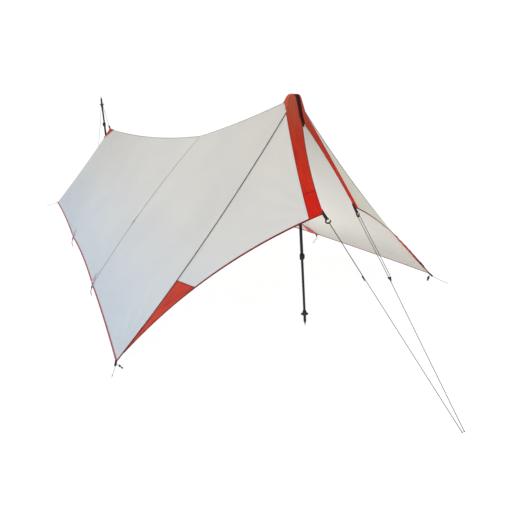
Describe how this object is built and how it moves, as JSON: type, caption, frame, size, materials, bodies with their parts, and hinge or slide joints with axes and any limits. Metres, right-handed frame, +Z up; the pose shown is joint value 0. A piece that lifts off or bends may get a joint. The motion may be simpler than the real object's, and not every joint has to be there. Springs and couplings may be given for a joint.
{
  "type": "tarp shelter",
  "caption": "Tapered ridge tarp shelter with two door wings, red reinforcement strips, guylines and telescopic support poles at its front and rear.",
  "frame": {"origin": "point of the front pole, on the ground under the peak", "axes": "+X to the right seen from the door, +Y from the door towards the rear along the ridge, +Z up"},
  "size_m": [2.2869, 5.5419, 1.3379],
  "materials": {
    "cloth": "satin",
    "red_cloth": "satin",
    "webbing": "matte",
    "cord": "matte",
    "fittings": "satin",
    "tube": "anodised",
    "grip_foam": "matte"
  },
  "bodies": {
    "canopy": {"left_front_wall": "cloth", "right_front_wall": "cloth", "left_rear_wall": "cloth", "right_rear_wall": "cloth", "peak_cap": "red_cloth", "rear_ridge_patch": "red_cloth", "rear_ridge_tab": "webbing", "left_side_tab_1": "webbing", "left_side_tab_2": "webbing", "right_side_tab_1": "webbing", "right_side_tab_2": "webbing", "left_corner_tab": "webbing", "right_corner_tab": "webbing", "left_side_loop_1": "cord", "left_side_loop_2": "cord", "right_side_loop_1": "cord", "right_side_loop_2": "cord", "left_front_corner_cord": "cord", "right_front_corner_cord": "cord", "left_rear_corner_cord": "cord", "right_rear_corner_cord": "cord", "rear_ridge_cord": "cord", "rear_guyline": "cord"},
    "left_door_wing": {"left_wing": "cloth", "left_front_strip": "red_cloth", "left_corner_panel": "red_cloth", "left_door_tab": "webbing", "left_door_hook": "fittings"},
    "left_door_line": {"left_guyline": "cord"},
    "left_tensioner": {"left_line_tensioner": "fittings"},
    "right_door_wing": {"right_wing": "cloth", "right_front_strip": "red_cloth", "right_corner_panel": "red_cloth", "right_door_tab": "webbing", "right_door_hook": "fittings"},
    "right_door_line": {"right_guyline": "cord"},
    "right_tensioner": {"right_line_tensioner": "fittings"},
    "front_pole_upper_section": {"front_pole_grip": "grip_foam", "front_pole_upper_tube": "tube", "front_pole_upper_lock": "fittings"},
    "front_pole_middle_section": {"front_pole_middle_tube": "tube", "front_pole_lower_lock": "fittings"},
    "front_pole_lower_section": {"front_pole_lower_tube": "tube", "front_pole_tip": "fittings", "front_pole_basket": "fittings"},
    "front_pole_upper_lever": {"front_pole_upper_lever": "fittings"},
    "front_pole_lower_lever": {"front_pole_lower_lever": "fittings"},
    "rear_pole_upper_section": {"rear_pole_grip": "grip_foam", "rear_pole_upper_tube": "tube", "rear_pole_upper_lock": "fittings"},
    "rear_pole_middle_section": {"rear_pole_middle_tube": "tube", "rear_pole_lower_lock": "fittings"},
    "rear_pole_lower_section": {"rear_pole_lower_tube": "tube", "rear_pole_tip": "fittings", "rear_pole_basket": "fittings"},
    "rear_pole_upper_lever": {"rear_pole_upper_lever": "fittings"},
    "rear_pole_lower_lever": {"rear_pole_lower_lever": "fittings"}
  },
  "joints": [
    {"name": "left_wing_fold", "type": "hinge", "parent": "canopy", "child": "left_door_wing", "pos_m": [0, -0.009, 1.33], "axis": [-0.6423, 0.1032, -0.7594], "range_deg": [0, 115]},
    {"name": "right_wing_fold", "type": "hinge", "parent": "canopy", "child": "right_door_wing", "pos_m": [0, -0.009, 1.33], "axis": [-0.6423, -0.1032, 0.7594], "range_deg": [0, 115]},
    {"name": "left_line_drop", "type": "hinge", "parent": "canopy", "child": "left_door_line", "pos_m": [-0.067, -1.364, 0.00155], "axis": [-0.9996, -0.0296, 0], "range_deg": [0, 38]},
    {"name": "left_tensioner_slide", "type": "slide", "parent": "left_door_line", "child": "left_tensioner", "axis": [0.0232, -0.7822, -0.6226], "range_m": [-0.25, 0.55]},
    {"name": "right_line_drop", "type": "hinge", "parent": "canopy", "child": "right_door_line", "pos_m": [-0.055, -1.364, 0.00155], "axis": [-0.9883, 0.1526, 0], "range_deg": [0, 38]},
    {"name": "right_tensioner_slide", "type": "slide", "parent": "right_door_line", "child": "right_tensioner", "axis": [-0.1199, -0.7768, -0.6183], "range_m": [-0.25, 0.55]},
    {"name": "front_pole_lean", "type": "hinge", "parent": "canopy", "child": "front_pole_upper_section", "pos_m": [0, 0, 1.3], "axis": [1, 0, 0], "range_deg": [-8, 8]},
    {"name": "front_pole_middle_slide", "type": "slide", "parent": "front_pole_upper_section", "child": "front_pole_middle_section", "axis": [0, 0, 1], "range_m": [0, 0.33]},
    {"name": "front_pole_lower_slide", "type": "slide", "parent": "front_pole_middle_section", "child": "front_pole_lower_section", "axis": [0, 0, 1], "range_m": [0, 0.3]},
    {"name": "front_pole_upper_lever_open", "type": "hinge", "parent": "front_pole_upper_section", "child": "front_pole_upper_lever", "pos_m": [-0.01503, -0.00547, 0.8], "axis": [0, 0, -1], "range_deg": [0, 110]},
    {"name": "front_pole_lower_lever_open", "type": "hinge", "parent": "front_pole_middle_section", "child": "front_pole_lower_lever", "pos_m": [-0.01503, -0.00547, 0.43], "axis": [0, 0, -1], "range_deg": [0, 110]},
    {"name": "rear_pole_lean", "type": "hinge", "parent": "canopy", "child": "rear_pole_lower_section", "pos_m": [0, 3.506, 1.036], "axis": [1, 0, 0], "range_deg": [-8, 8]},
    {"name": "rear_pole_middle_slide", "type": "slide", "parent": "rear_pole_lower_section", "child": "rear_pole_middle_section", "axis": [0, 0, 1], "range_m": [0, 0.15]},
    {"name": "rear_pole_upper_slide", "type": "slide", "parent": "rear_pole_middle_section", "child": "rear_pole_upper_section", "axis": [0, 0, 1], "range_m": [0, 0.29]},
    {"name": "rear_pole_upper_lever_open", "type": "hinge", "parent": "rear_pole_upper_section", "child": "rear_pole_upper_lever", "pos_m": [-0.01503, 3.50053, 0.51], "axis": [0, 0, 1], "range_deg": [0, 110]},
    {"name": "rear_pole_lower_lever_open", "type": "hinge", "parent": "rear_pole_middle_section", "child": "rear_pole_lower_lever", "pos_m": [-0.01503, 3.50053, 0.845], "axis": [0, 0, 1], "range_deg": [0, 110]}
  ]
}
